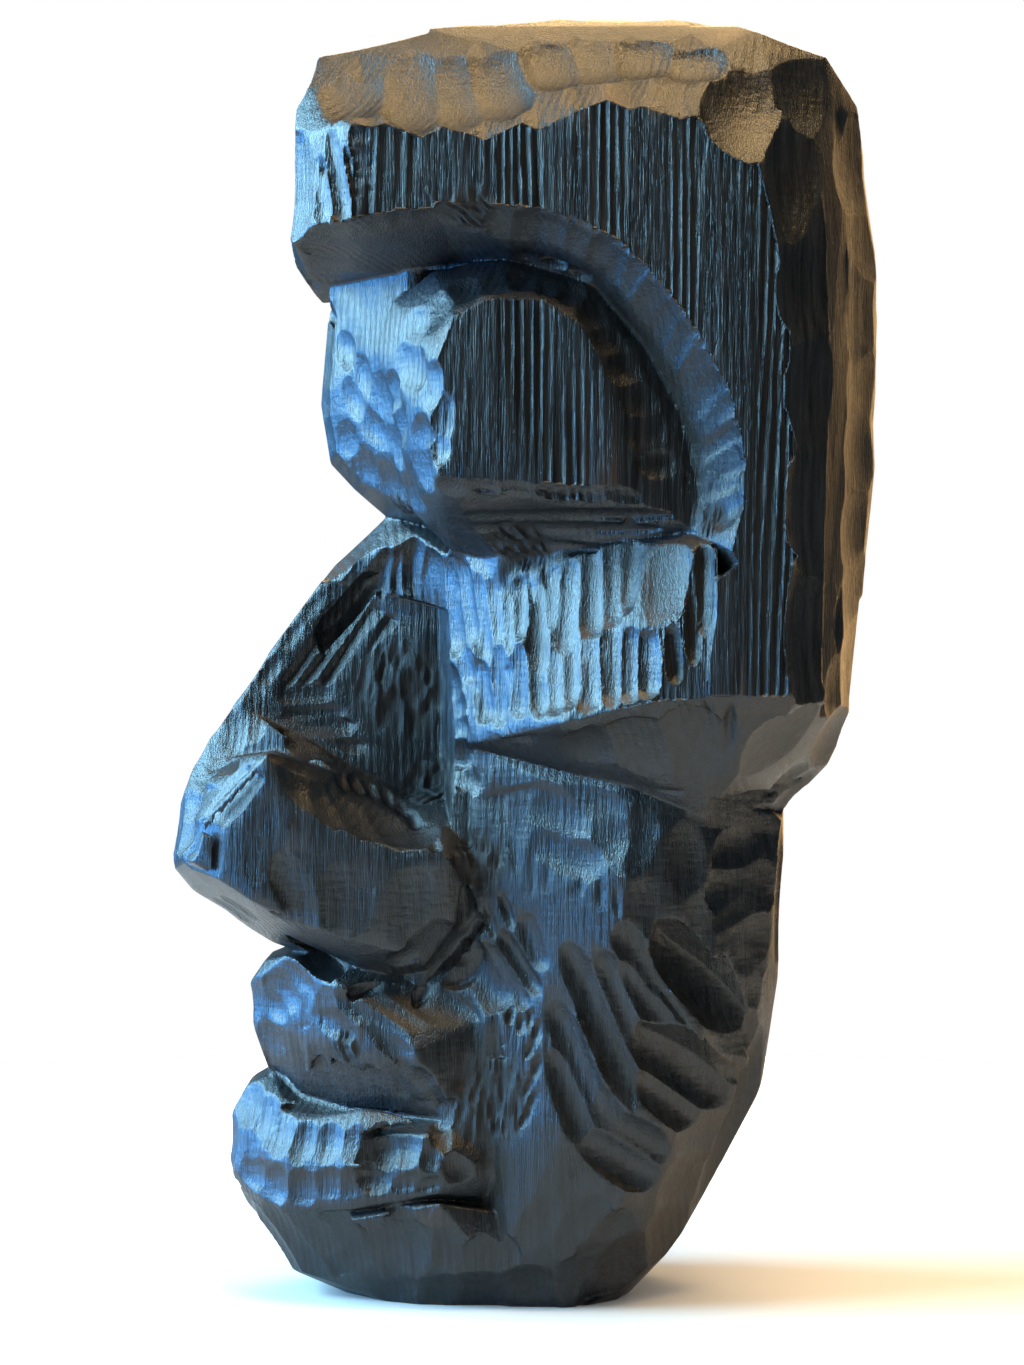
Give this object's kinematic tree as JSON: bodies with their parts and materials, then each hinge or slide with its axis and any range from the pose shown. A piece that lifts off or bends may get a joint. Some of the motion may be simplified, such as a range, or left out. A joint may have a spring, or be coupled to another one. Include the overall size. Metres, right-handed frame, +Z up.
{
  "type": "carved wooden head sculpture",
  "caption": "Tall stylised head carved from one blackened timber block, with a long ridged nose, arched eye sockets, full lips and a flat base.",
  "frame": {"origin": "centre of the head's bounding box at the underside of its flat base", "axes": "+Z up along the timber's grain, the face looks along -Y, the two flat sides of the timber look along +X and -X"},
  "size_m": [0.19, 0.258, 0.465],
  "materials": {
    "blackened_wood": "charred and oiled dark timber, chisel and gouge marks left, satin to semi-gloss"
  },
  "bodies": {
    "root": {"carved_head": "blackened_wood"}
  },
  "joints": []
}
